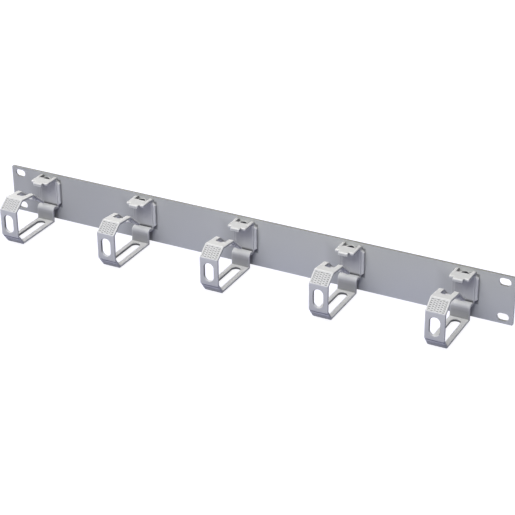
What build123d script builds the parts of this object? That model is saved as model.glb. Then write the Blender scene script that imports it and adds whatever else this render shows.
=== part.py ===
from build123d import *
import os

# Rack cable management panel: a flat 19 inch, one unit blanking sheet that carries
# five open cable rings. Each ring is a one-piece moulding: a strap that starts as a
# catch tab under the panel's top edge, runs down the sheet as the foot, folds into a
# spring and goes round the cable space to a forked free end.
#
# X runs along the panel, Y points into the rack and Z up. The origin is the centre of
# the sheet's rear face, which lies on the rack's rails. Sizes are millimetres.

# Panel
panel_length = 482.6
panel_height = 43.6
sheet = 2.0
panel_corner = 1.2

# Slots for the rack screws, set in from the panel's ends
rack_slot_inset = 8.75
rack_pitch = 31.75
rack_slot_length = 10.3
rack_slot_width = 6.8

# Row of rings
ring_count = 5
ring_pitch = 100.0

# Strap of one ring
strap_width = 17.2
wall = 2.4
outer_round = 1.1
inner_round = 0.6
tip_round = 0.9

# Tab, set down from the panel's top edge
tab_set_down = 0.9
tab_reach = 17.8
root_round = 0.9
tongue_width = 8.7
tongue_reach = 3.0
lip_drop = 0.9
lip_wall = 1.7
tongue_corner = 1.2
tab_corner = 0.9

# Opening between the tab's two root fingers, the ramp in front of it and the half-moon
finger_width = 2.5
window_reach = 6.2
window_drop = 3.3
ramp_reach = 9.7
ramp_drop = 1.1
moon_radius = 2.9
moon_rim = 0.9
moon_reach = 8.5
moon_shift = 1.5

# Foot that lies on the sheet: a plate, with a raised middle as wide as the strap
foot_width = 22.6
foot_wall = 3.0
foot_raised = 3.7
foot_set_down = 3.8
foot_height = 23.8
foot_cut_wide = 2.8
foot_cut_high = 2.3

# Fold below the foot: a narrow crease, then the crest
crease_gap = 1.0
crease_depth = 1.4
crease_round = 0.45
crest_below_tab = 26.7
crest_rear_round = 0.7
crest_front_round = 3.6
crest_under_round = 0.6
fold_round = 2.5
hump_reach = 11.3
lean = 0.4

# Round the cable space
arm_bottom = -20.8
toe_reach = 58.8
ring_reach = 66.3
front_low = -11.0
front_top = 13.5
brow_reach = 55.8
brow_top = 21.3
peak_reach = 37.9
peak_top = 19.4
fork_reach = 22.7
fork_low = 6.1

# Openings in the strap
arm_slot_width = 8.2
arm_slot_start = 15.5
arm_slot_end = 56.0
front_slot_width = 9.0
front_slot_height = 16.6
front_slot_middle = 0.6
notch_width = 8.4
notch_floor = 47.3
notch_round = 2.6

# Cross bar that joins the fork's two fingers on their underside
bar_length = 13.6
bar_place = 5.5
bar_wall = 1.8
bar_drop = 1.9

# Hooks that hold the ring in the sheet, and their clearances
hook_width = 9.2
hook_wall = 2.2
hook_catch = 1.7
hook_lip = 1.8
hook_lead = 1.1
upper_hook_top = 15.0
lower_hook_bottom = -3.4
window_height = 4.6
window_clearance = 0.3
grip_clearance = 0.15

tab_top = panel_height / 2 - tab_set_down
rack_span = panel_length - 2 * rack_slot_inset
crest = tab_top - crest_below_tab
foot_top = tab_top - foot_set_down
foot_bottom = foot_top - foot_height
ring_places = [(i - (ring_count - 1) / 2) * ring_pitch for i in range(ring_count)]


def strap_skin():
    """Outside skin of the strap as depth, height, outside round and inside round."""
    fold_floor = crest - crease_depth - wall
    fold_front = foot_raised + crease_gap + wall
    hump_back = hump_reach - wall
    return [
        (tab_reach, tab_top, tip_round, 0),
        (0, tab_top, root_round + wall, root_round),
        (0, fold_floor, fold_round, crease_round),
        (fold_front, fold_floor, crest_under_round, crease_round),
        (fold_front, crest - wall, crest_under_round, crest_rear_round),
        (hump_back, crest - wall, crest_under_round, crest_front_round),
        (hump_back + lean, arm_bottom, outer_round, inner_round),
        (toe_reach, arm_bottom, outer_round, inner_round),
        (ring_reach, front_low, outer_round, inner_round),
        (ring_reach, front_top, outer_round, inner_round),
        (brow_reach, brow_top, outer_round, inner_round),
        (peak_reach, peak_top, outer_round, inner_round),
        (fork_reach, fork_low, tip_round, 0),
    ]


def side_point(depth, height):
    """Point of the side view, in the YZ plane: depth is measured out of the sheet."""
    return Vector(-depth, height)


def inside_skin(outside, thickness):
    """Offsets an open line to its right and mitres the corners."""
    steps = [(b - a).normalized() for a, b in zip(outside, outside[1:])]
    normals = [Vector(step.Y, -step.X) for step in steps]
    before = [normals[0]] + normals
    after = normals + [normals[-1]]
    return [
        point + (n + m) * (thickness / (1 + n.dot(m)))
        for point, n, m in zip(outside, before, after)
    ]


def side_prism(points, rounds, width, middle=0.0):
    """Closed side view with rounded corners, carried across the strap."""
    with BuildPart() as prism:
        with BuildSketch(Plane.YZ.offset(middle)):
            with BuildLine():
                FilletPolyline(*points, radius=rounds, close=True)
            make_face()
        extrude(amount=width / 2, both=True)
    return prism.part


def strap():
    """The strap from the tab's front edge to the free end, in one section."""
    skin = strap_skin()
    outside = [side_point(depth, height) for depth, height, _, _ in skin]
    inside = inside_skin(outside, wall)
    rounds = [row[2] for row in skin] + [row[3] for row in reversed(skin)]
    return side_prism(outside + inside[::-1], rounds, strap_width)


def foot_plate():
    """Flat foot, wider than the strap and cut off at its four corners."""
    half = foot_width / 2
    inner = half - foot_cut_wide
    low, high = foot_bottom, foot_top
    outline = [
        (half, low + foot_cut_high),
        (half, high - foot_cut_high),
        (inner, high),
        (-inner, high),
        (-half, high - foot_cut_high),
        (-half, low + foot_cut_high),
        (-inner, low),
        (inner, low),
    ]
    with BuildPart() as plate:
        with BuildSketch(Plane.XZ):
            Polygon(*outline, align=None)
        extrude(amount=foot_wall)
    return plate.part


def foot_middle():
    """Raised middle of the foot, from the tab down into the fold."""
    low = crest - crease_depth - wall / 2
    high = tab_top - wall / 2
    points = [
        (wall / 2, low),
        (wall / 2, high),
        (foot_raised, high),
        (foot_raised, low),
    ]
    return side_prism([side_point(*p) for p in points], [0] * len(points), strap_width)


def tongue():
    """Tongue in front of the tab, with a lip that turns down."""
    overlap = tab_reach - wall
    front = tab_reach + tongue_reach
    under = tab_top - wall
    points = [
        (overlap, tab_top),
        (front, tab_top),
        (front, under - lip_drop),
        (front - lip_wall, under - lip_drop),
        (front - lip_wall, under),
        (overlap, under),
    ]
    rounds = [0, tongue_corner, 0, 0, inner_round, 0]
    body = side_prism([side_point(*p) for p in points], rounds, tongue_width)
    with BuildPart() as plan:
        with BuildSketch(Plane.XY.offset(tab_top - 2 * wall)):
            with Locations((0, -front / 2)):
                RectangleRounded(tongue_width, front, tab_corner)
        extrude(amount=3 * wall)
    return body & plan.part


def root_window():
    """Space between the tab's fingers with the ramp, clear of the half-moon's rim."""
    width = strap_width - 2 * finger_width
    above = tab_top + wall
    points = [
        (0, tab_top - window_drop),
        (0, above),
        (ramp_reach, above),
        (ramp_reach, tab_top),
        (window_reach, tab_top - ramp_drop),
        (window_reach, tab_top - window_drop),
    ]
    space = side_prism([side_point(*p) for p in points], [0] * len(points), width)
    with BuildPart() as rim:
        with BuildSketch(Plane.XY.offset(tab_top - window_drop)):
            with Locations((moon_shift, -moon_reach)):
                Circle(moon_radius + moon_rim)
        extrude(amount=window_drop + wall)
    return space - rim.part


def half_moon():
    """Half-round hole through the tab, flat side to the front."""
    with BuildPart() as hole:
        with BuildSketch(Plane.XY.offset(tab_top - 2 * wall)):
            with Locations((moon_shift, -moon_reach)):
                Circle(moon_radius)
            with Locations((moon_shift, -moon_reach - moon_radius)):
                Rectangle(2 * moon_radius, 2 * moon_radius, mode=Mode.SUBTRACT)
        extrude(amount=3 * wall)
    return hole.part


def arm_slot():
    """Long round-ended slot along the lower arm."""
    length = arm_slot_end - arm_slot_start
    with BuildPart() as slot:
        with BuildSketch(Plane.XY.offset(arm_bottom - wall)):
            with Locations((0, -(arm_slot_start + length / 2))):
                SlotOverall(length, arm_slot_width, rotation=90)
        extrude(amount=3 * wall)
    return slot.part


def front_slot():
    """Upright round-ended slot in the front wall."""
    with BuildPart() as slot:
        with BuildSketch(Plane.XZ.offset(ring_reach - 2 * wall)):
            with Locations((0, front_slot_middle)):
                SlotOverall(front_slot_height, front_slot_width, rotation=90)
        extrude(amount=3 * wall)
    return slot.part


def fork_notch():
    """Notch from the free end forwards, which leaves the strap's end forked."""
    start = fork_reach - tip_round
    run = notch_floor - start
    with BuildPart() as notch:
        with BuildSketch(Plane.XY.offset(fork_low - wall)) as plan:
            with Locations((0, -(start + run / 2))):
                Rectangle(notch_width, run)
            fillet(plan.vertices().group_by(Axis.Y)[0], notch_round)
        extrude(amount=brow_top - fork_low + 2 * wall)
    return notch.part


def fork_bar():
    """Cross bar on the underside of the fork's fingers, square to them."""
    skin = [side_point(depth, height) for depth, height, _, _ in strap_skin()]
    start, end = inside_skin(skin, wall)[-2:]
    along = (end - start).normalized()
    down = Vector(along.Y, -along.X)
    near = start + along * bar_place
    far = near + along * bar_wall
    points = [
        near - down * (wall / 2),
        near + down * bar_drop,
        far + down * bar_drop,
        far - down * (wall / 2),
    ]
    return side_prism(points, [0] * len(points), bar_length)


def hook(neck_top, neck_bottom, lip_points):
    """Neck through the sheet with a catch behind it."""
    points = [(wall / 2, neck_bottom), (wall / 2, neck_top)] + lip_points
    return side_prism([side_point(*p) for p in points], [0] * len(points), hook_width)


def upper_hook():
    """Fixed hook, which catches above its window."""
    top = upper_hook_top
    bottom = top - hook_wall
    catch = -(sheet + grip_clearance)
    back = catch - hook_lip
    lip = [
        (catch, top),
        (catch, top + hook_catch),
        (back + hook_lead, top + hook_catch),
        (back, top + hook_catch - hook_lead),
        (back, bottom),
    ]
    return hook(top, bottom, lip)


def lower_hook():
    """Snap hook, which catches below its window and has a slanted lead-in."""
    bottom = lower_hook_bottom
    top = bottom + hook_wall
    catch = -(sheet + grip_clearance)
    back = catch - hook_lip - hook_lead
    lip = [
        (back, top),
        (back, bottom),
        (catch - hook_lip / 2, bottom - hook_catch + hook_lead / 2),
        (catch, bottom - hook_catch + hook_lead / 2),
        (catch, bottom),
    ]
    return hook(top, bottom, lip)


def ring():
    """One complete ring, its foot on the plane y = 0 and its middle at x = 0."""
    body = strap() - fork_notch() - arm_slot() - front_slot()
    body += [foot_plate(), foot_middle(), tongue(), fork_bar(), upper_hook(), lower_hook()]
    return body - root_window() - half_moon()


def hook_windows():
    """Middle heights of a ring's two windows in the sheet."""
    upper_middle = upper_hook_top + window_clearance - window_height / 2
    lower_middle = lower_hook_bottom - window_clearance + window_height / 2
    return [upper_middle, lower_middle]


def panel():
    """Flat sheet with the rack slots and the rings' windows."""
    window_width = hook_width + 2 * window_clearance
    windows = [(x, z) for x in ring_places for z in hook_windows()]
    with BuildPart() as plate:
        with BuildSketch(Plane.XZ):
            RectangleRounded(panel_length, panel_height, panel_corner)
            with GridLocations(rack_span, rack_pitch, 2, 2):
                SlotOverall(rack_slot_length, rack_slot_width, mode=Mode.SUBTRACT)
            with Locations(*windows):
                Rectangle(window_width, window_height, mode=Mode.SUBTRACT)
        extrude(amount=sheet)
    return plate.part


def write(node, shape):
    shape.label = node
    export_step(shape, f"parts/{node}.step")


os.makedirs("parts", exist_ok=True)
write("panel", panel())
one_ring = ring()
for number, x in enumerate(ring_places, start=1):
    write(f"ring_{number}", Pos(x, -sheet, 0) * one_ring)
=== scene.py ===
from math import cos, radians, sin

import bpy
import numpy as np
from mathutils import Matrix, Vector


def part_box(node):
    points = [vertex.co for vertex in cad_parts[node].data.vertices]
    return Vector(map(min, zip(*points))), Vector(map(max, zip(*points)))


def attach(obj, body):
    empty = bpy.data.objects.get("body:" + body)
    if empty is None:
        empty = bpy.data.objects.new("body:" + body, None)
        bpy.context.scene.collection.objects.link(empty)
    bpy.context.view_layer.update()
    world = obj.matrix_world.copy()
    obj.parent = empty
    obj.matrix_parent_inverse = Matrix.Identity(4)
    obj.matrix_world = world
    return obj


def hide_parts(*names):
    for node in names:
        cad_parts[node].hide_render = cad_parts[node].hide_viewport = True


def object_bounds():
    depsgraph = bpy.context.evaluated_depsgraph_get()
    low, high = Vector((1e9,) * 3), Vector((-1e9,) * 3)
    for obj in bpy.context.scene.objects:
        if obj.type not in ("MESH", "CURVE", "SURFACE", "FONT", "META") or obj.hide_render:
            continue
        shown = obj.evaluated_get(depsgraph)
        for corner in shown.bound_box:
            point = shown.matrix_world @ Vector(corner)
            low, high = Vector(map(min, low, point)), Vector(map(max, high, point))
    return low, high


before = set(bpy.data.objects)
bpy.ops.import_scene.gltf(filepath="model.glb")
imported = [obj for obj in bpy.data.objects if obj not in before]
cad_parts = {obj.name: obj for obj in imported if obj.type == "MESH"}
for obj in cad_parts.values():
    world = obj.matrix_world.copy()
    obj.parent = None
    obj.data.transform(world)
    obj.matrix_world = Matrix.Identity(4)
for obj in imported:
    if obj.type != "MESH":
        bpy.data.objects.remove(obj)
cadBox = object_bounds()
print("frame loaded")

millimetre = 0.001
panelLow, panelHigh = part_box("panel")
sheetFront = panelLow.y
ringNodes = sorted(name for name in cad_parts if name.startswith("ring_"))
ringMiddles = [(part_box(node)[0].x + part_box(node)[1].x) / 2 for node in ringNodes]
pitch = (ringMiddles[-1] - ringMiddles[0]) / (len(ringMiddles) - 1)


# The cable ring. Depth is measured out of the sheet's front face, everything in millimetres. A form that
# another face cuts off runs on by spare, and one that starts inside another by root.
ring = {
    "strapWidth": 17.2, "wall": 2.4, "spare": 2.0, "root": 1.0,
    "edgeRound": 0.95, "slotRound": 0.45, "smallRound": 0.5, "seamFillet": 0.3,
    "tabTop": 20.9, "tabReach": 17.8, "tabCorner": 1.0, "rootRound": 2.1,
    "tongueWidth": 8.7, "tongueReach": 20.8, "lipDrop": 0.9, "lipWall": 1.7, "lipRound": 1.0,
    "windowWidth": 12.2, "windowReach": 6.2, "windowDrop": 3.3, "windowRound": 0.25,
    "rampReach": 9.7, "rampDrop": 1.1,
    "moonRadius": 3.1, "moonRim": 0.75, "moonReach": 8.5, "moonShift": 1.5,
    "footWidth": 22.6, "footWall": 3.0, "footRaised": 3.7, "footTop": 17.1, "footBottom": -6.7,
    "footCutWide": 2.8, "footCutHigh": 2.3,
    "creaseFloor": -7.2, "foldFront": 7.1, "crest": -5.8, "humpReach": 11.3,
    "foldRound": 1.3, "crestRound": 2.4,
    "armBottom": -20.8, "toeReach": 58.8, "ringReach": 66.3, "frontLow": -11.0, "frontTop": 13.5,
    "browReach": 55.8, "browTop": 21.3, "peakReach": 37.9, "peakTop": 19.4,
    "forkReach": 22.7, "forkLow": 6.1, "lean": 0.4,
    "armSlot": (15.5, 56.0, 8.2), "frontSlot": (-7.7, 8.9, 9.0),
    "notchWidth": 8.4, "notchFloor": 47.3, "notchRound": 2.6, "notchGap": 0.2,
    "fingerSkin": 1.5, "barHalf": 7.9, "barPlace": 5.5, "barWall": 1.8, "barTop": 0.45, "barDrop": 1.9,
    "hookWidth": 9.2, "hookWall": 2.2, "hookGrip": -2.15, "hookRound": 0.3,
    "upperHook": 15.0, "upperBack": -3.95, "upperCatch": 1.7, "upperLead": 1.1,
    "lowerHook": -3.4, "lowerBack": -5.05, "lowerCatch": 1.15, "lowerLead": 2.0,
    "toeRidge": 3.9, "toeGroove": 2.0, "toeGrooveWide": 1.9, "toeGrooveDeep": 0.45, "toeGrooveOver": 3.0,
    "toeGrooveRound": 0.3,
    "cell": 0.36,
}

# How close to a face, in millimetres, still counts as on it.
near = 0.3


def roundCut(a, b, radius):
    # What lies in both: the larger distance, with the edge between them rounded to the radius.
    u = np.maximum(a + radius, 0)
    v = np.maximum(b + radius, 0)
    return np.minimum(np.maximum(a, b), -radius) + np.sqrt(u * u + v * v)


def roundJoin(a, b, radius):
    # What lies in either: the smaller distance, with a fillet of the radius in the corner.
    return -roundCut(-a, -b, radius)


def slab(value, low, high):
    # Distance out of the band between two values.
    return np.maximum(low - value, value - high)


def capsule(u, v, low, high, radius):
    # Distance to a round-ended slot that lies along v from low to high.
    along = v - np.clip(v, low + radius, high - radius)
    return np.sqrt(u * u + along * along) - radius


def roundBox(u, v, halfU, halfV, radius):
    # Distance to a rectangle with rounded corners, centred on nought.
    a = np.abs(u) - (halfU - radius)
    b = np.abs(v) - (halfV - radius)
    return np.hypot(np.maximum(a, 0), np.maximum(b, 0)) + np.minimum(np.maximum(a, b), 0) - radius


def ramp(value, start, end):
    # Nought at start and one at end, even in between and level beyond.
    return np.clip((value - start) / (end - start), 0, 1)


def strapMiddle():
    # The strap's middle line in the side view: the skin's corners moved in by half the wall.
    r = ring
    crestUnder = r["crest"] - r["wall"]
    foldFloor = r["creaseFloor"] - r["wall"]
    skin = np.array([
        (r["tabReach"], r["tabTop"], 0),
        (0, r["tabTop"], r["rootRound"]),
        (0, foldFloor, r["foldRound"]),
        (r["foldFront"], foldFloor, 0),
        (r["foldFront"], crestUnder, 0),
        (r["humpReach"] - r["wall"], crestUnder, r["crestRound"]),
        (r["humpReach"] - r["wall"] + r["lean"], r["armBottom"], 0),
        (r["toeReach"], r["armBottom"], 0),
        (r["ringReach"], r["frontLow"], 0),
        (r["ringReach"], r["frontTop"], 0),
        (r["browReach"], r["browTop"], 0),
        (r["peakReach"], r["peakTop"], 0),
        (r["forkReach"], r["forkLow"], 0),
    ])
    points, rounds = skin[:, :2], skin[:, 2]
    steps = np.diff(points, axis=0)
    steps /= np.linalg.norm(steps, axis=1)[:, None]
    normals = np.stack([-steps[:, 1], steps[:, 0]], axis=1)
    before = np.vstack([normals[:1], normals])
    after = np.vstack([normals, normals[-1:]])
    mitre = 1 + (before * after).sum(axis=1)
    middle = points + (before + after) / mitre[:, None] * r["wall"] / 2
    return bendCorners(middle, rounds)


def bendCorners(points, rounds, steps=19):
    # Each corner with a radius becomes an arc that touches both of its sides.
    line = [points[0]]
    for before, corner, after, radius in zip(points, points[1:], points[2:], rounds[1:]):
        if radius == 0:
            line.append(corner)
            continue
        a = (before - corner) / np.linalg.norm(before - corner)
        b = (after - corner) / np.linalg.norm(after - corner)
        half = np.arccos(np.clip(a @ b, -1, 1)) / 2
        centre = corner + (a + b) / np.linalg.norm(a + b) * radius / np.sin(half)
        start = corner + a * radius / np.tan(half) - centre
        end = corner + b * radius / np.tan(half) - centre
        turn = np.arctan2(start[0] * end[1] - start[1] * end[0], start @ end)
        for angle in np.linspace(0, turn, steps):
            c, s = np.cos(angle), np.sin(angle)
            line.append(centre + np.array([c * start[0] - s * start[1], s * start[0] + c * start[1]]))
    line.append(points[-1])
    return np.array(line)


def alongLine(line, depth, height):
    # Distance to the line, and how far along it the nearest point is. Both ends run on by the spare.
    away = np.full(np.shape(depth), 1e9)
    place = np.zeros(np.shape(depth))
    travelled = 0.0
    last = len(line) - 2
    for i, (a, b) in enumerate(zip(line, line[1:])):
        length = np.linalg.norm(b - a)
        u = (b - a) / length
        t = (depth - a[0]) * u[0] + (height - a[1]) * u[1]
        t = np.clip(t, -ring["spare"] if i == 0 else 0, length + (ring["spare"] if i == last else 0))
        d = np.hypot(depth - a[0] - t * u[0], height - a[1] - t * u[1])
        nearer = d < away
        away = np.where(nearer, d, away)
        place = np.where(nearer, travelled + t, place)
        travelled += length
    return away, place, travelled


middleLine = strapMiddle()

# Grip on the brow: short grooves in staggered rows, in a pad that fills a shallow pocket.
grip = {
    "rows": 12, "rowPitch": 0.9, "groovePitch": 4.7, "stagger": 0.25,
    "grooveLength": 1.7, "grooveWidth": 0.6, "grooveDepth": 0.28,
    "fieldLength": 10.9, "fieldWidth": 13.8, "fieldShift": -0.5, "border": 0.4, "step": 0.05,
    "pocket": 0.6, "root": 0.8, "overlap": 0.1, "cell": 0.13,
    "grooveDark": 0.85, "borderDark": 0.7,
}


def browAxes():
    # The brow's middle in depth and height, the way up it and the way out of it.
    low = np.array([ring["ringReach"], ring["frontTop"]])
    high = np.array([ring["browReach"], ring["browTop"]])
    along = (high - low) / np.linalg.norm(high - low)
    return (low + high) / 2, along, np.array([along[1], -along[0]])


browMiddle, browAlong, browOut = browAxes()


def onBrow(depth, height):
    # How far up the brow and how far out of its skin a place lies.
    up = (depth - browMiddle[0]) * browAlong[0] + (height - browMiddle[1]) * browAlong[1]
    lift = (depth - browMiddle[0]) * browOut[0] + (height - browMiddle[1]) * browOut[1]
    return up, lift


def fromBrow(across, up, lift):
    # The other way round, as rows of across, depth and height.
    depth = browMiddle[0] + browAlong[0] * up + browOut[0] * lift
    height = browMiddle[1] + browAlong[1] * up + browOut[1] * lift
    return np.stack([across, depth, height], axis=-1).reshape(-1, 3)


def onToe(depth, height):
    # How far down the toe from the front wall and how far out of its skin a place lies.
    top = np.array([ring["ringReach"], ring["frontLow"]])
    run = np.array([ring["toeReach"], ring["armBottom"]]) - top
    along = run / np.linalg.norm(run)
    down = (depth - top[0]) * along[0] + (height - top[1]) * along[1]
    lift = (height - top[1]) * along[0] - (depth - top[0]) * along[1]
    return down, lift


def onFinger(depth, height):
    # How far down a finger from the fork's peak and how far under its middle a place lies.
    peak, end = middleLine[-2], middleLine[-1]
    along = (end - peak) / np.linalg.norm(end - peak)
    far = (depth - peak[0]) * along[0] + (height - peak[1]) * along[1]
    under = (height - peak[1]) * along[0] - (depth - peak[0]) * along[1]
    return far, under


def slotOutlines(x, depth, height):
    # Distances to the long slot's outline, seen from above, and to the upright slot's, seen from the front.
    back, front, armWidth = ring["armSlot"]
    low, high, frontWidth = ring["frontSlot"]
    return capsule(x, depth, back, front, armWidth / 2), capsule(x, height, low, high, frontWidth / 2)


def strapDistance(x, depth, height):
    # The strap: within half a wall of its middle line and within the flat pattern's outline, less its slots
    # and its notch, every edge rounded.
    r = ring
    away, place, length = alongLine(middleLine, depth, height)
    outline = roundBox(x, place - length / 2, r["strapWidth"] / 2, length / 2, r["tabCorner"])
    body = roundCut(away - r["wall"] / 2, outline, r["edgeRound"])

    armSlot, frontSlot = slotOutlines(x, depth, height)
    armSlot = np.maximum(armSlot, height - r["armBottom"] - 3 * r["wall"])
    frontSlot = np.maximum(frontSlot, r["ringReach"] - 3 * r["wall"] - depth)
    notchStart = r["tongueReach"] + r["notchGap"]
    run = r["notchFloor"] - notchStart
    notch = roundBox(x, depth - notchStart - run / 2, r["notchWidth"] / 2, run / 2, r["notchRound"])
    square = np.maximum(np.abs(x) - r["notchWidth"] / 2, slab(depth, notchStart, notchStart + run / 2))
    notch = np.maximum(np.minimum(notch, square), r["forkLow"] - 2 * r["wall"] - height)
    for opening in (armSlot, frontSlot, notch):
        body = roundCut(body, -opening, r["slotRound"])
    return body


def footDistance(x, depth, height):
    # The flat foot with its cut corners, and the raised middle as wide as the strap.
    r = ring
    half = r["footWidth"] / 2
    middle = (r["footTop"] + r["footBottom"]) / 2
    tall = (r["footTop"] - r["footBottom"]) / 2
    u, v = np.abs(x), np.abs(height - middle)
    slant = np.hypot(r["footCutWide"], r["footCutHigh"])
    corner = ((u - half) * r["footCutHigh"] + (v - tall) * r["footCutWide"]
              + r["footCutWide"] * r["footCutHigh"]) / slant
    plate = roundCut(np.maximum(np.maximum(u - half, v - tall), corner),
                     slab(depth, -r["spare"], r["footWall"]), r["smallRound"])
    rise = np.maximum(slab(height, r["creaseFloor"] - r["wall"] / 2, r["tabTop"] - r["wall"] / 2),
                      slab(depth, -r["spare"], r["footRaised"]))
    raised = roundCut(u - r["strapWidth"] / 2, rise, r["smallRound"])
    return roundJoin(plate, raised, r["seamFillet"])


def tongueDistance(x, depth, height):
    # The tongue in front of the tab, with its lip turned down.
    r = ring
    wide = np.abs(x) - r["tongueWidth"] / 2
    front = depth - r["tongueReach"]
    under = r["tabTop"] - r["wall"]
    flat = np.maximum(slab(height, under, r["tabTop"]), r["tabReach"] - 2 * r["wall"] - depth)
    lip = np.maximum(slab(height, under - r["lipDrop"], r["tabTop"]), r["tongueReach"] - r["lipWall"] - depth)
    body = roundCut(np.minimum(flat, lip), front, r["lipRound"])
    return roundCut(body, wide, r["smallRound"])


def barDistance(x, depth, height):
    # The cross bar under the fork's fingers, square to them.
    r = ring
    far, under = onFinger(depth, height)
    section = np.maximum(slab(far, r["barPlace"], r["barPlace"] + r["barWall"]),
                         slab(under, r["barTop"], r["wall"] / 2 + r["barDrop"]))
    return roundCut(np.abs(x) - r["barHalf"], section, r["smallRound"])


def hookDistance(x, depth, height):
    # The fixed upper hook and the snap hook, each a neck through the sheet with a catch behind it.
    r = ring
    top, bottom = r["upperHook"], r["upperHook"] - r["hookWall"]
    neck = np.maximum(slab(depth, r["upperBack"], r["root"]), slab(height, bottom, top))
    behind = slab(depth, r["upperBack"], r["hookGrip"])
    catch = np.maximum(behind, slab(height, bottom, top + r["upperCatch"]))
    corner = (r["upperBack"] + r["upperLead"] - depth + height - top - r["upperCatch"]) / 2 ** 0.5
    upper = np.minimum(neck, np.maximum(catch, corner))

    bottom, top = r["lowerHook"], r["lowerHook"] + r["hookWall"]
    neck = np.maximum(slab(depth, r["lowerBack"], r["root"]), slab(height, bottom, top))
    behind = slab(depth, r["lowerBack"], r["hookGrip"])
    catch = np.maximum(behind, slab(height, bottom - r["lowerCatch"], top))
    slope = (r["lowerBack"] - depth) * r["lowerCatch"] + (bottom - height) * r["lowerLead"]
    lower = np.minimum(neck, np.maximum(catch, slope / np.hypot(r["lowerCatch"], r["lowerLead"])))
    return roundCut(np.minimum(upper, lower), np.abs(x) - r["hookWidth"] / 2, r["hookRound"])


def tabOpenings(x, depth, height):
    # The root's window with the ramp in front of it, less the half-moon's rim, and the half-moon's well.
    r = ring
    top = height - r["tabTop"]
    slope = r["rampDrop"] / (r["rampReach"] - r["windowReach"])
    overRamp = np.maximum((r["rampReach"] - depth) * -slope - top, depth - r["rampReach"])
    overWindow = np.maximum(-r["windowDrop"] - top, depth - r["windowReach"])
    across = x - r["moonShift"]
    rim = np.hypot(across, depth - r["moonReach"]) - r["moonRadius"] - r["moonRim"]
    window = np.maximum(np.minimum(overRamp, overWindow), np.abs(x) - r["windowWidth"] / 2)
    window = np.maximum(np.maximum(window, -rim), -r["root"] - depth)
    moon = np.maximum(np.hypot(across, depth - r["moonReach"]) - r["moonRadius"], depth - r["moonReach"])
    return window, np.maximum(moon, r["tabTop"] - 2 * r["wall"] - height)


def skinRecesses(x, depth, height):
    # The groove across the toe, and the pocket that the grip's pad fills.
    r = ring
    down, lift = onToe(depth, height)
    groove = np.maximum(np.abs(down - r["toeGroove"]) - r["toeGrooveWide"] / 2,
                        slab(lift, -r["toeGrooveDeep"], r["toeGrooveOver"]))
    up, lift = onBrow(depth, height)
    beyond = np.abs(up - grip["fieldShift"]) - grip["fieldLength"] / 2
    pocket = np.maximum(np.maximum(np.abs(x) - grip["fieldWidth"] / 2, beyond), np.abs(lift) - grip["pocket"])
    return groove, pocket


def ringDistance(x, depth, height):
    # Distance out of the whole moulding, negative inside it.
    r = ring
    body = roundJoin(strapDistance(x, depth, height), footDistance(x, depth, height), r["seamFillet"])
    body = np.minimum(body, tongueDistance(x, depth, height))
    body = roundJoin(body, barDistance(x, depth, height), r["seamFillet"])
    body = np.maximum(body, -depth)
    body = np.minimum(body, hookDistance(x, depth, height))
    for opening in tabOpenings(x, depth, height):
        body = roundCut(body, -opening, r["windowRound"])
    groove, pocket = skinRecesses(x, depth, height)
    return np.maximum(roundCut(body, -groove, r["toeGrooveRound"]), -pocket)


def slopeOf(distance, points, nudge=0.02):
    # The distance's slope at each point, and its direction.
    slope = np.stack([
        distance(*(points + nudge * side).T) - distance(*(points - nudge * side).T) for side in np.eye(3)
    ], axis=1) / (2 * nudge)
    return slope, slope / np.maximum(np.linalg.norm(slope, axis=1, keepdims=True), 1e-9)


def settle(distance, points, cell, rounds=3):
    # Slides every corner down the slope of the distance until it lies on the surface, by less than half a
    # cell each round.
    for _ in range(rounds):
        value = distance(*points.T)
        slope = slopeOf(distance, points)[0]
        steep = np.maximum((slope * slope).sum(axis=1), 0.25)
        move = -slope * (value / steep)[:, None]
        size = np.linalg.norm(move, axis=1, keepdims=True)
        points = points + move * np.minimum(1, 0.4 * cell / np.maximum(size, 1e-9))
    return points


def cellCorners(field):
    # Every cell that the surface crosses gets one corner, at the mean of the crossings on its edges. Gives
    # the crossed grid edges along each axis, the crossed cells and their corners' places in the cell.
    shape = np.array(field.shape) - 1
    total = np.zeros((*shape, 3))
    count = np.zeros(shape)
    crossings = []
    for axis in range(3):
        a = np.moveaxis(field, axis, 0)
        crossed = (a[:-1] < 0) != (a[1:] < 0)
        step = a[:-1] - a[1:]
        share = np.where(crossed, a[:-1] / np.where(step == 0, 1, step), 0)
        crossed = np.moveaxis(crossed, 0, axis)
        share = np.moveaxis(share, 0, axis)
        others = [k for k in range(3) if k != axis]
        for first in (0, 1):
            for second in (0, 1):
                window = [slice(None)] * 3
                window[others[0]] = slice(first, first + shape[others[0]])
                window[others[1]] = slice(second, second + shape[others[1]])
                hit = crossed[tuple(window)]
                count += hit
                total[..., axis] += np.where(hit, share[tuple(window)], 0)
                total[..., others[0]] += hit * first
                total[..., others[1]] += hit * second
        crossings.append(crossed)
    used = count > 0
    return crossings, used, total[used] / count[used][:, None]


def cellFaces(field, crossings, used):
    # Every crossed grid edge gets a face between its four cells. The faces turn outwards in the frame,
    # where depth runs against y.
    shape = np.array(used.shape)
    number = np.full(shape, -1)
    number[used] = np.arange(used.sum())
    faces = []
    for axis in range(3):
        others = [k for k in range(3) if k != axis]
        edges = np.argwhere(crossings[axis])
        inner = np.all(edges[:, others] > 0, axis=1) & np.all(edges[:, others] < shape[others], axis=1)
        edges = edges[inner]
        corners = []
        for first, second in ((1, 1), (0, 1), (0, 0), (1, 0)):
            corner = edges.copy()
            corner[:, others[0]] -= first
            corner[:, others[1]] -= second
            corners.append(number[tuple(corner.T)])
        quads = np.stack(corners, axis=1)
        leaving = field[tuple(edges.T)] < 0
        flip = ~leaving if axis == 1 else leaving
        quads[flip] = quads[flip][:, ::-1]
        faces.append(quads)
    return np.vstack(faces)


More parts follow.
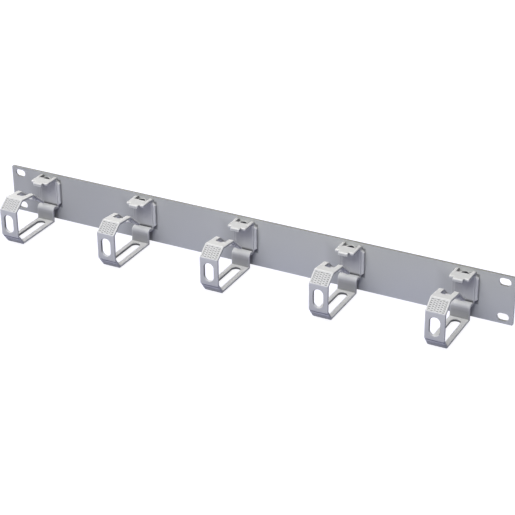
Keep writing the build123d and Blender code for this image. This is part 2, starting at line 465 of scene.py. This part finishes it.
def surfaceMesh(distance, low, high, cell):
    # The surface where the distance is nought, from samples of it on a grid of cells.
    axes = [np.arange(a, b + cell, cell) for a, b in zip(low, high)]
    field = distance(*np.meshgrid(*axes, indexing="ij", sparse=True))
    crossings, used, places = cellCorners(field)
    points = (np.argwhere(used) + places) * cell + np.array([a[0] for a in axes])
    return settle(distance, points, cell), cellFaces(field, crossings, used)


def fingerSide(points):
    # True on the outer sides of the fork's fingers.
    x, depth, height = points.T
    far, under = onFinger(depth, height)
    length = np.linalg.norm(middleLine[-1] - middleLine[-2])
    outer = np.abs(x) > ring["strapWidth"] / 2 - ring["fingerSkin"]
    return (slab(far, near, length + ring["root"]) < 0) & (np.abs(under) < ring["fingerSkin"]) & outer


def onBar(points):
    # True on the cross bar and just round it.
    depth, height = points.T[1:]
    far = onFinger(depth, height)[0]
    start, margin = ring["barPlace"], shading["barMargin"]
    return (slab(far, start - margin, start + ring["barWall"] + margin) < 0) & (height > 0)


# How much painted shade each place gets, as shares of the full painted shade, and where each painted shade
# starts and ends: in millimetres, for the slots' walls in their rounding, for the faces in shares of facing
# up or sideways.
shading = {
    "look": 1.6, "fade": 1.3, "crease": 0.75, "sheetWall": 2.0, "barFront": 0.2, "barMargin": 0.1,
    "slots": 0.7, "slotFade": (1.3, 0.3), "upFade": (0.5, 0.0), "window": 0.7, "windowFade": (0.36, 0.06),
    "hump": 0.35, "humpFade": (2.5, 6.5), "toe": 0.24, "toeFade": (1.0, 3.0), "toeSkin": 1.0,
    "sides": 0.26, "sideFade": (0.8, 1.0), "tab": 0.06, "tabSkin": 0.2,
    "footLeft": 0.27, "footFade": (0.0, 6.0),
    "fingers": 0.45, "fingerFade": (0.1, 0.5), "barTop": 0.7, "barFade": (1.5, 0.5),
}


def creaseShade(points, normals):
    # How soon the moulding or the sheet lies ahead of each corner. The cross bar's front stays nearly clear.
    s = shading
    ahead = points + s["look"] * normals
    gap = np.minimum(ringDistance(*ahead.T), slab(ahead[:, 1], -s["sheetWall"], 0))
    shade = ramp(gap, s["look"], 0) ** s["fade"] * s["crease"]
    under = onFinger(*points.T[1:])[1]
    shade[onBar(points) & (under > ring["wall"] / 2)] *= s["barFront"]
    return shade


def openingShade(points, normals):
    # The walls of both slots, apart from those that face up, and the side walls of the root's window.
    r, s = ring, shading
    x, depth, height = points.T
    armSlot, frontSlot = slotOutlines(x, depth, height)
    inArm = np.where(height < r["armBottom"] + 1.5 * r["wall"], armSlot, np.inf)
    inFront = np.where(depth > r["ringReach"] - 1.5 * r["wall"], frontSlot, np.inf)
    onWall = ramp(np.minimum(inArm, inFront) / r["slotRound"], *s["slotFade"])
    slots = onWall * ramp(normals[:, 2], *s["upFade"]) * s["slots"]

    beside = ramp(np.abs(np.abs(x) - r["windowWidth"] / 2), *s["windowFade"])
    inWindow = slab(depth, near, r["windowReach"]) < 0
    inWindow &= slab(height, r["tabTop"] - r["windowDrop"] - near, r["tabTop"] - near) < 0
    return np.maximum(slots, beside * inWindow * s["window"])


def strapShade(points, normals):
    # The hump's front further down from the crest, the toe below its ridge, and a little on the strap's
    # sides, on the tab and on the foot's -x part.
    r, s = ring, shading
    x, depth, height = points.T
    onHump = (np.abs(depth - r["humpReach"]) < r["wall"] / 2) * np.clip(normals[:, 1], 0, 1)
    hump = ramp(r["crest"] - height, *s["humpFade"]) * onHump * s["hump"]
    down, lift = onToe(depth, height)
    toe = ramp(down - r["toeRidge"], *s["toeFade"]) * (lift > -s["toeSkin"]) * s["toe"]
    sides = ramp(np.abs(normals[:, 0]), *s["sideFade"]) * s["sides"]
    tab = (height > r["tabTop"] - s["tabSkin"]) * (depth < r["tongueReach"]) * s["tab"]
    onFoot = slab(depth, r["footWall"] - near, r["footRaised"] + near) < 0
    foot = onFoot * ramp(-x, *s["footFade"]) * s["footLeft"]
    return np.max([hump, toe, sides, tab, foot], axis=0)


def forkShade(points, normals):
    # The lower half of the fingers' outer sides, and the cross bar's top where the notch shows it.
    s = shading
    x, depth, height = points.T
    under = onFinger(depth, height)[1]
    fingers = ramp(under, *s["fingerFade"]) * fingerSide(points) * np.abs(normals[:, 0]) * s["fingers"]
    barTop = onBar(points) * ramp(under, *s["barFade"]) * (np.abs(x) < ring["notchWidth"] / 2) * s["barTop"]
    return np.maximum(fingers, barTop)


def ringPaintedShade(points):
    # How much painted shade each corner gets: the most of the four painted shades above.
    normals = slopeOf(ringDistance, points)[1]
    kinds = (creaseShade, openingShade, strapShade, forkShade)
    return np.max([kind(points, normals) for kind in kinds], axis=0)


def moonWell(points):
    # How deep in the half-moon's well each corner lies, in millimetres. It is left unclamped, so that the
    # painted shade that blackens the well can find the well's rim between two corners.
    r = ring
    x, depth, height = points.T
    away = np.maximum(np.hypot(x - r["moonShift"], depth - r["moonReach"]) - r["moonRadius"],
                      depth - r["moonReach"])
    under = r["tabTop"] - height
    return np.where(under < 1.5 * r["wall"], np.minimum(r["windowRound"] - away, under), -1)


# How much painted highlight each place gets, as shares of the full painted highlight, where each starts and
# ends, and how a bend becomes painted highlight: its gain, less what a flat place gives.
paintedHighlight = {
    "step": 0.45, "gain": 1.1, "flat": 0.08, "rim": 0.68, "lessOnSides": 0.75,
    "wing": 0.51, "wingFade": (0.2, 0.5), "upperSides": 0.42, "front": 0.41, "frontSkin": 0.5,
    "ridge": 0.85, "ridgeFade": (0.98, 0.28), "fingerFade": (0.4, 0.0), "barSkin": 0.5, "barUnder": 1.0,
}


def bentEdgeHighlights(points, normals):
    # Painted highlight on bent edges: how sharply the skin bends outwards at each corner, from the mean of
    # the distance just around it, less on the sides.
    s = paintedHighlight
    around = sum(ringDistance(*(points + side * s["step"]).T) for side in np.vstack([np.eye(3), -np.eye(3)]))
    bend = (around - 6 * ringDistance(*points.T)) / s["step"] ** 2
    onSides = s["lessOnSides"] * np.abs(normals[:, 0])
    return np.clip(bend * s["gain"] - s["flat"], 0, 1) * (1 - onSides) * s["rim"]


def faceHighlights(points, normals):
    # Painted highlight on the foot's +x wing, the upper sides of the lower arm and of the crest, the front
    # wall towards its top, the ridge across the toe, the fingers' upper half and the cross bar's front.
    r, s = ring, paintedHighlight
    x, depth, height = points.T
    outward, upward = np.clip(normals.T[1:], 0, 1)
    wing = ramp(x - r["strapWidth"] / 2, *s["wingFade"]) * (np.abs(depth - r["footWall"]) < near) * s["wing"]
    upper = (height < r["crest"] + near) * upward * s["upperSides"]
    onFront = (depth > r["ringReach"] - s["frontSkin"]) * outward
    front = onFront * ramp(height, r["frontLow"], r["frontTop"]) * s["front"]
    down, lift = onToe(depth, height)
    ridge = ramp(np.abs(down - r["toeRidge"]), *s["ridgeFade"]) * (lift > -near) * s["ridge"]
    far, under = onFinger(depth, height)
    fingers = ramp(under, *s["fingerFade"]) * fingerSide(points)
    barFront = (np.abs(far - r["barPlace"]) < s["barSkin"]) & (under > s["barUnder"]) & (height > 0)
    return np.max([wing, upper, front, ridge, fingers, barFront], axis=0)


def ringPaintedHighlights(points):
    # How much painted highlight each corner gets: the more of its bend and of its face.
    normals = slopeOf(ringDistance, points)[1]
    return np.maximum(bentEdgeHighlights(points, normals), faceHighlights(points, normals))


def gripSurface():
    # A closed pad that fills the brow's pocket. Its upper side is a plane less the grooves, each a rounded
    # trough, in staggered rows. It also gives painted shade in the troughs and along the border.
    g = grip
    halfWide = g["fieldWidth"] / 2 + g["overlap"]
    halfLong = g["fieldLength"] / 2 + g["overlap"]
    u = np.linspace(-halfWide, halfWide, round(2 * halfWide / g["cell"]) + 1)
    v = np.linspace(-halfLong, halfLong, round(2 * halfLong / g["cell"]) + 1)
    across, up = np.meshgrid(u, v, indexing="ij")

    lastRow = (g["rows"] - 1) / 2
    row = np.clip(np.round(up / g["rowPitch"] + lastRow), 0, g["rows"] - 1)
    rowPlace = up - (row - lastRow) * g["rowPitch"]
    shifted = across - np.where(row % 2 == 0, g["stagger"], -g["stagger"]) * g["groovePitch"]
    groovePlace = shifted - np.round(shifted / g["groovePitch"]) * g["groovePitch"]
    away = capsule(rowPlace, groovePlace, -g["grooveLength"] / 2, g["grooveLength"] / 2, g["grooveWidth"] / 2)
    trough = np.clip(-away / (g["grooveWidth"] / 2), 0, 1)
    trough = np.sqrt(1 - (1 - trough) ** 2)
    edge = np.maximum(np.abs(across) - g["fieldWidth"] / 2, np.abs(up) - g["fieldLength"] / 2)
    border = np.clip(1 + edge / g["border"], 0, 1)
    lift = -g["step"] - g["grooveDepth"] * trough * (1 - border)

    place = up + g["fieldShift"]
    points = np.vstack([fromBrow(across, place, lift), fromBrow(across, place, -g["root"])])
    index = np.arange(across.size).reshape(across.shape)
    top = np.stack([index[:-1, :-1], index[1:, :-1], index[1:, 1:], index[:-1, 1:]], axis=-1).reshape(-1, 4)
    loop = np.concatenate([index[:-1, 0], index[-1, :-1], index[:0:-1, -1], index[0, :0:-1]])
    onward = np.roll(loop, -1)
    skirt = np.stack([loop, loop + across.size, onward + across.size, onward], axis=-1)
    faces = np.vstack([top, top[:, ::-1] + across.size, skirt])
    shade = np.maximum(g["grooveDark"] * trough * (1 - border), g["borderDark"] * border).ravel()
    return points, faces, np.concatenate([shade, shade])


def intoFrame(points, ringCentre):
    # Across, depth and height in millimetres to the frame's metres.
    x, depth, height = points.T * millimetre
    return np.stack([x + ringCentre, sheetFront - depth, height], axis=1)


def meshFromArrays(name, points, faces):
    mesh = bpy.data.meshes.new(name)
    sides = faces.shape[1]
    mesh.vertices.add(len(points))
    mesh.vertices.foreach_set("co", points.astype(np.float32).ravel())
    mesh.loops.add(faces.size)
    mesh.loops.foreach_set("vertex_index", faces.astype(np.int32).ravel())
    mesh.polygons.add(len(faces))
    mesh.polygons.foreach_set("loop_start", np.arange(0, faces.size, sides, dtype=np.int32))
    mesh.update(calc_edges=True)
    mesh.validate()
    mesh.shade_smooth()
    return mesh


def markCorners(mesh, **amounts):
    # Numbers per corner that the finish reads by their names, such as painted highlight and painted shade.
    for name, amount in amounts.items():
        mesh.attributes.new(name, "FLOAT", "POINT").data.foreach_set("value", amount.astype(np.float32))


def addPiece(name, mesh, material):
    piece = bpy.data.objects.new(name, mesh)
    bpy.context.scene.collection.objects.link(piece)
    mesh.materials.append(material)
    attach(piece, "root")
    return piece


# Material nodes. An input is a socket to link or a value to set.
def addNode(tree, kind, inputs=(), **settings):
    node = tree.nodes.new(kind)
    for key, value in settings.items():
        setattr(node, key, value)
    for key, value in dict(inputs).items():
        if isinstance(value, bpy.types.NodeSocket):
            tree.links.new(value, node.inputs[key])
        else:
            node.inputs[key].default_value = value
    return node


def calculate(tree, operation, first, second=0.0):
    return addNode(tree, "ShaderNodeMath", {0: first, 1: second}, operation=operation).outputs[0]


def mapRange(tree, value, start, end, low=0.0, high=1.0, **settings):
    # Low at start and high at end, even in between and level beyond.
    node = addNode(tree, "ShaderNodeMapRange", {"Value": value, "From Min": start, "From Max": end,
                                                "To Min": low, "To Max": high}, **settings)
    return node.outputs["Result"]


def mixColours(tree, share, first, second):
    return addNode(tree, "ShaderNodeMix", {0: share, 6: first, 7: second}, data_type="RGBA").outputs[2]


def mixShaders(tree, share, first, second):
    return addNode(tree, "ShaderNodeMixShader", {0: share, 1: first, 2: second}).outputs[0]


def newMaterial(name):
    material = bpy.data.materials.new(name)
    material.use_nodes = True
    tree = material.node_tree
    return material, tree, tree.nodes["Principled BSDF"]


def newGroup(name, inputs, outputs):
    group = bpy.data.node_groups.new(name, "ShaderNodeTree")
    for label, kind, value in inputs:
        socket = group.interface.new_socket(name=label, in_out="INPUT", socket_type=kind)
        socket.default_value = value
    for label, kind in outputs:
        group.interface.new_socket(name=label, in_out="OUTPUT", socket_type=kind)
    start = group.nodes.new("NodeGroupInput")
    end = group.nodes.new("NodeGroupOutput")
    return group, start.outputs, end.inputs


def fineSkinGroup():
    # Fine moulded or sprayed skin, for both finishes: a small-grained height and a slow drift of tone.
    group, given, wanted = newGroup(
        "fineSkin",
        [("Coordinates", "NodeSocketVector", (0, 0, 0)), ("Grain per metre", "NodeSocketFloat", 2500.0),
         ("Drift per metre", "NodeSocketFloat", 30.0)],
        [("Height", "NodeSocketFloat"), ("Drift", "NodeSocketFloat")])
    grain = addNode(group, "ShaderNodeTexNoise",
                    {"Vector": given["Coordinates"], "Scale": given["Grain per metre"],
                     "Detail": 3.0, "Roughness": 0.55})
    drift = addNode(group, "ShaderNodeTexNoise",
                    {"Vector": given["Coordinates"], "Scale": given["Drift per metre"],
                     "Detail": 2.0, "Roughness": 0.5})
    group.links.new(grain.outputs["Fac"], wanted["Height"])
    group.links.new(drift.outputs["Fac"], wanted["Drift"])
    return group


def besideBoxGroup():
    # One in a box on the sheet, falling to nought a little way off it. The sheet's finish places it once for
    # each painted shadow.
    group, given, wanted = newGroup(
        "besideBox",
        [("Across", "NodeSocketFloat", 0.0), ("Height", "NodeSocketFloat", 0.0),
         ("Half width", "NodeSocketFloat", 0.01), ("Low", "NodeSocketFloat", 0.0),
         ("High", "NodeSocketFloat", 0.01), ("Fade", "NodeSocketFloat", 0.002)],
        [("Shade", "NodeSocketFloat")])
    aside = calculate(group, "SUBTRACT", given["Across"], given["Half width"])
    above = calculate(group, "SUBTRACT", given["Height"], given["High"])
    below = calculate(group, "SUBTRACT", given["Low"], given["Height"])
    away = calculate(group, "MAXIMUM", aside, calculate(group, "MAXIMUM", above, below))
    shade = mapRange(group, away, 0.0, given["Fade"], 1.0, 0.0, interpolation_type="SMOOTHSTEP")
    group.links.new(shade, wanted["Shade"])
    return group


fineSkin = fineSkinGroup()
besideBox = besideBoxGroup()

# The drift's usual range, and how far the grain stands out, in metres.
driftRange = (0.3, 0.7)
grainHeight = 0.0002


def placeSkin(tree, shader, where, finish):
    # The fine skin's bump and gloss on the shader. Gives its drift, for the colour.
    skin = addNode(tree, "ShaderNodeGroup", {"Coordinates": where, "Grain per metre": finish["grain"],
                                             "Drift per metre": finish["drift"]}, node_tree=fineSkin)
    gloss = mapRange(tree, skin.outputs["Drift"], *driftRange, *finish["roughness"])
    bump = addNode(tree, "ShaderNodeBump", {"Height": skin.outputs["Height"], "Strength": finish["bump"],
                                            "Distance": grainHeight})
    tree.links.new(gloss, shader.inputs["Roughness"])
    tree.links.new(bump.outputs["Normal"], shader.inputs["Normal"])
    return skin.outputs["Drift"]


# The edge colour is painted highlight, and the near-black colour is painted shade, which also blackens the
# half-moon's well.
plastic = {
    "light": (0.70, 0.70, 0.68, 1), "dark": (0.64, 0.64, 0.66, 1),
    "edge": (0.95, 0.95, 0.94, 1), "hollow": (0.03, 0.03, 0.035, 1), "wellRim": (0.04, 0.16),
    "roughness": (0.40, 0.50), "specular": 0.4, "grain": 3200.0, "drift": 45.0, "bump": 0.05,
}


def ringPlastic():
    # Satin injection-moulded plastic: slow drift in tone and gloss, and a very fine spark-eroded skin. The
    # numbers per corner paint highlights on its edges and some faces, paint shade into its creases, slots and
    # other shaded places, and paint the half-moon's well black as shade.
    p = plastic
    material, tree, shader = newMaterial("ringPlastic")
    where = addNode(tree, "ShaderNodeTexCoord").outputs["Object"]
    edge, hollow, well = [addNode(tree, "ShaderNodeAttribute", attribute_name=name).outputs["Fac"]
                          for name in ("edge", "hollow", "well")]
    colour = mixColours(tree, placeSkin(tree, shader, where, p), p["dark"], p["light"])
    colour = mixColours(tree, edge, colour, p["edge"])
    colour = mixColours(tree, hollow, colour, p["hollow"])
    colour = mixColours(tree, mapRange(tree, well, *p["wellRim"]), colour, p["hollow"])
    tree.links.new(colour, shader.inputs["Base Color"])
    shader.inputs["Specular IOR Level"].default_value = p["specular"]
    return material


# Places are in metres. Each painted shadow beside a ring is its box's middle across and half width, low and
# high, then its fade and amount.
coat = {
    "upper": (0.66, 0.665, 0.64, 1), "lower": (0.635, 0.645, 0.655, 1), "riseFade": (0.6, 1.5),
    "left": (0.57, 0.575, 0.57, 1), "leftFade": (-0.20, 0.02),
    "speck": (0.48, 0.48, 0.50, 1), "specks": 2600.0, "speckFade": (0.66, 0.8), "speckShare": 0.35,
    "cutEdge": (0.20, 0.20, 0.17, 1), "cutFade": (0.6, 0.9),
    "shade": (0.09, 0.09, 0.10, 1), "frontFacing": -0.5,
    "shades": (
        (0.0, 0.0108, -0.0090, 0.0171, 0.0010, 0.65),
        (0.0, 0.0045, -0.0200, -0.0060, 0.0025, 0.55),
        (-0.0095, 0.0060, -0.0170, 0.0060, 0.0130, 0.2),
    ),
    "roughness": (0.38, 0.52), "grain": 1500.0, "drift": 14.0, "bump": 0.18,
}


def besideRings(tree, place, facing):
    # The most of the painted shadows beside the nearest ring, on the sheet's front alone. Shifted by five and
    # a half pitches, the place across stays positive and its modulo is half a pitch at each ring's middle.
    shifted = calculate(tree, "ADD", place["X"], 5.5 * pitch)
    across = calculate(tree, "SUBTRACT", calculate(tree, "MODULO", shifted, pitch), pitch / 2)
    most = 0.0
    for middle, half, low, high, fade, amount in coat["shades"]:
        aside = calculate(tree, "ABSOLUTE", calculate(tree, "SUBTRACT", across, middle))
        box = addNode(tree, "ShaderNodeGroup", {"Across": aside, "Height": place["Z"], "Half width": half,
                                                "Low": low, "High": high, "Fade": fade}, node_tree=besideBox)
        most = calculate(tree, "MAXIMUM", most, calculate(tree, "MULTIPLY", box.outputs["Shade"], amount))
    return calculate(tree, "MULTIPLY", most, calculate(tree, "LESS_THAN", facing["Y"], coat["frontFacing"]))


def sheetCoat():
    # Fine powder coat: orange peel, faint specks, a tone that cools towards the lower edge and darkens
    # towards the left, a darker colour on the faces that face up along the sheet's cut top edge, and painted
    # shadow beside each ring.
    c = coat
    material, tree, shader = newMaterial("sheetCoat")
    coordinates = addNode(tree, "ShaderNodeTexCoord").outputs
    place = addNode(tree, "ShaderNodeSeparateXYZ", {0: coordinates["Object"]}).outputs
    facing = addNode(tree, "ShaderNodeSeparateXYZ", {0: coordinates["Normal"]}).outputs
    drift = placeSkin(tree, shader, coordinates["Object"], c)

    rise = calculate(tree, "ADD", drift, mapRange(tree, place["Z"], panelLow.z, panelHigh.z))
    colour = mixColours(tree, mapRange(tree, rise, *c["riseFade"]), c["lower"], c["upper"])
    colour = mixColours(tree, mapRange(tree, place["X"], *c["leftFade"], 1.0, 0.0), colour, c["left"])
    specks = addNode(tree, "ShaderNodeTexNoise",
                     {"Vector": coordinates["Object"], "Scale": c["specks"], "Detail": 1.0})
    speckShare = mapRange(tree, specks.outputs["Fac"], *c["speckFade"], 0.0, c["speckShare"])
    colour = mixColours(tree, speckShare, colour, c["speck"])
    colour = mixColours(tree, mapRange(tree, facing["Z"], *c["cutFade"]), colour, c["cutEdge"])
    # Painted shadow on the sheet beside each ring.
    colour = mixColours(tree, besideRings(tree, place, facing), colour, c["shade"])
    tree.links.new(colour, shader.inputs["Base Color"])
    return material


sheetMaterial = sheetCoat()
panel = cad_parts["panel"]
panel.data.materials.clear()
panel.data.materials.append(sheetMaterial)

ringMaterial = ringPlastic()
margin = 2 * ring["cell"]
reach = ring["footWidth"] / 2 + margin
ringPoints, ringFaces = surfaceMesh(
    ringDistance,
    (-reach, ring["lowerBack"] - margin, ring["armBottom"] - margin),
    (reach, ring["ringReach"] + margin, ring["browTop"] + margin),
    ring["cell"])
print("ring skin", len(ringPoints), "corners", len(ringFaces), "faces")
# Painted shade, painted highlight and the depth in the half-moon's well for each corner, the same for every
# ring.
ringShade, ringHighlights, ringWell = ringPaintedShade(ringPoints), ringPaintedHighlights(ringPoints), moonWell(ringPoints)
gripPoints, gripFaces, gripShade = gripSurface()
gripPlain = np.zeros(len(gripShade))
print("grip pad", len(gripFaces), "faces")

for node, centre in zip(ringNodes, ringMiddles):
    mesh = meshFromArrays(node + "_moulding", intoFrame(ringPoints, centre), ringFaces)
    markCorners(mesh, hollow=ringShade, edge=ringHighlights, well=ringWell)
    moulding = addPiece(node + "_moulding", mesh, ringMaterial)
    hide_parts(node)
    mesh = meshFromArrays(node + "_grip", intoFrame(gripPoints, centre), gripFaces)
    markCorners(mesh, hollow=gripShade, edge=gripPlain, well=gripPlain)
    addPiece(node + "_grip", mesh, ringMaterial)
print("rings in place")


# Camera, fitted to the panel's corners and slots in the photo.
shot = {
    "azimuth": 27.83, "elevation": 27.54, "roll": -0.53, "focalPixels": 1638.77,
    "picture": 515, "aimPixel": (246.35, 240.48), "distance": 1.40333, "sensor": 36.0, "farthest": 20.0,
}


def placeCamera():
    # The sheet's front centre is seen at the aim pixel, from the given distance and angles.
    azimuth, elevation, roll = (radians(shot[k]) for k in ("azimuth", "elevation", "roll"))
    back = Vector((sin(azimuth) * cos(elevation), -cos(azimuth) * cos(elevation), sin(elevation)))
    level = Vector((cos(azimuth), sin(azimuth), 0))
    upright = back.cross(level)
    right = cos(roll) * level + sin(roll) * upright
    up = cos(roll) * upright - sin(roll) * level
    half = shot["picture"] / 2
    focal, distance = shot["focalPixels"], shot["distance"]
    offsetX = (shot["aimPixel"][0] - half) / focal * distance
    offsetY = (shot["aimPixel"][1] - half) / focal * distance
    eye = distance * back - offsetX * right + offsetY * up + Vector((0, sheetFront, 0))
    data = bpy.data.cameras.new("camera")
    data.sensor_width = shot["sensor"]
    data.lens = shot["sensor"] * focal / shot["picture"]
    data.clip_end = shot["farthest"]
    camera = bpy.data.objects.new("camera", data)
    camera.matrix_world = Matrix((
        (right.x, up.x, back.x, eye.x),
        (right.y, up.y, back.y, eye.y),
        (right.z, up.z, back.z, eye.z),
        (0, 0, 0, 1)))
    bpy.context.scene.collection.objects.link(camera)
    bpy.context.scene.camera = camera


# Five soft lamps, each at its direction from the part and with its own power and tint.
light = {
    "lamps": {
        "top": ((0, 0, 1), 9.5, (1.0, 0.945, 0.83)),
        "topFront": ((0, -0.6, 0.8), 27.5, (0.955, 0.97, 1.0)),
        "left": ((-0.7, 0, 0.7), 8.5, (1.0, 0.975, 0.91)),
        "back": ((0, 0.6, 0.8), 1.5, (1.0, 0.99, 0.96)),
        "rear": ((-0.9, 0.8, 0.1), 9.0, (1.0, 0.99, 0.97)),
    },
    "lampSize": 1.5, "lampDistance": 1.9,
    "worldStrength": 0.07, "worldColour": (0.75, 0.82, 1.0, 1), "white": (1, 1, 1, 1),
}


def seenDirectly(tree):
    # One for camera, glossy and transmitted rays, nought for the rest.
    path = addNode(tree, "ShaderNodeLightPath").outputs
    either = calculate(tree, "MAXIMUM", path["Is Camera Ray"], path["Is Glossy Ray"])
    return calculate(tree, "MAXIMUM", either, path["Is Transmission Ray"])


def lightScene():
    # The lamps look at the part, and the world adds an even dim sky.
    for name, (direction, power, tint) in light["lamps"].items():
        data = bpy.data.lights.new(name + "Lamp", "AREA")
        data.energy = power
        data.size = light["lampSize"]
        data.color = tint
        lamp = bpy.data.objects.new(name + "Lamp", data)
        lamp.location = Vector(direction).normalized() * light["lampDistance"]
        lamp.rotation_euler = (-lamp.location).to_track_quat("-Z", "Y").to_euler()
        bpy.context.scene.collection.objects.link(lamp)

    world = bpy.data.worlds.new("studio")
    bpy.context.scene.world = world
    world.use_nodes = True
    tree = world.node_tree
    sky = tree.nodes["Background"]
    sky.inputs["Color"].default_value = light["worldColour"]
    sky.inputs["Strength"].default_value = light["worldStrength"]
    white = addNode(tree, "ShaderNodeBackground", {"Color": light["white"], "Strength": 1.0})
    both = mixShaders(tree, seenDirectly(tree), sky.outputs[0], white.outputs[0])
    tree.links.new(both, tree.nodes["World Output"].inputs["Surface"])


ground = {"drop": 0.0003, "half": 6.0, "colour": (0.155, 0.16, 0.285, 1), "roughness": 0.9, "glow": 0.92}


def layFloor():
    # Pale floor that reads white and keeps a faint shadow.
    half = ground["half"]
    z = cadBox[0][2] - ground["drop"]
    corners = np.array([(-half, -half, z), (half, -half, z), (half, half, z), (-half, half, z)])
    mesh = meshFromArrays("floor", corners, np.array([[0, 1, 2, 3]]))
    floor = bpy.data.objects.new("floor", mesh)
    bpy.context.scene.collection.objects.link(floor)
    material, tree, shader = newMaterial("paleFloor")
    shader.inputs["Base Color"].default_value = ground["colour"]
    shader.inputs["Roughness"].default_value = ground["roughness"]
    glow = addNode(tree, "ShaderNodeEmission", {"Color": light["white"], "Strength": ground["glow"]})
    bright = addNode(tree, "ShaderNodeAddShader", {0: shader.outputs[0], 1: glow.outputs[0]})
    both = mixShaders(tree, seenDirectly(tree), shader.outputs[0], bright.outputs[0])
    tree.links.new(both, tree.nodes["Material Output"].inputs["Surface"])
    mesh.materials.append(material)


placeCamera()
lightScene()
layFloor()
bpy.context.scene.view_settings.view_transform = "Standard"
print("camera, light and floor set")
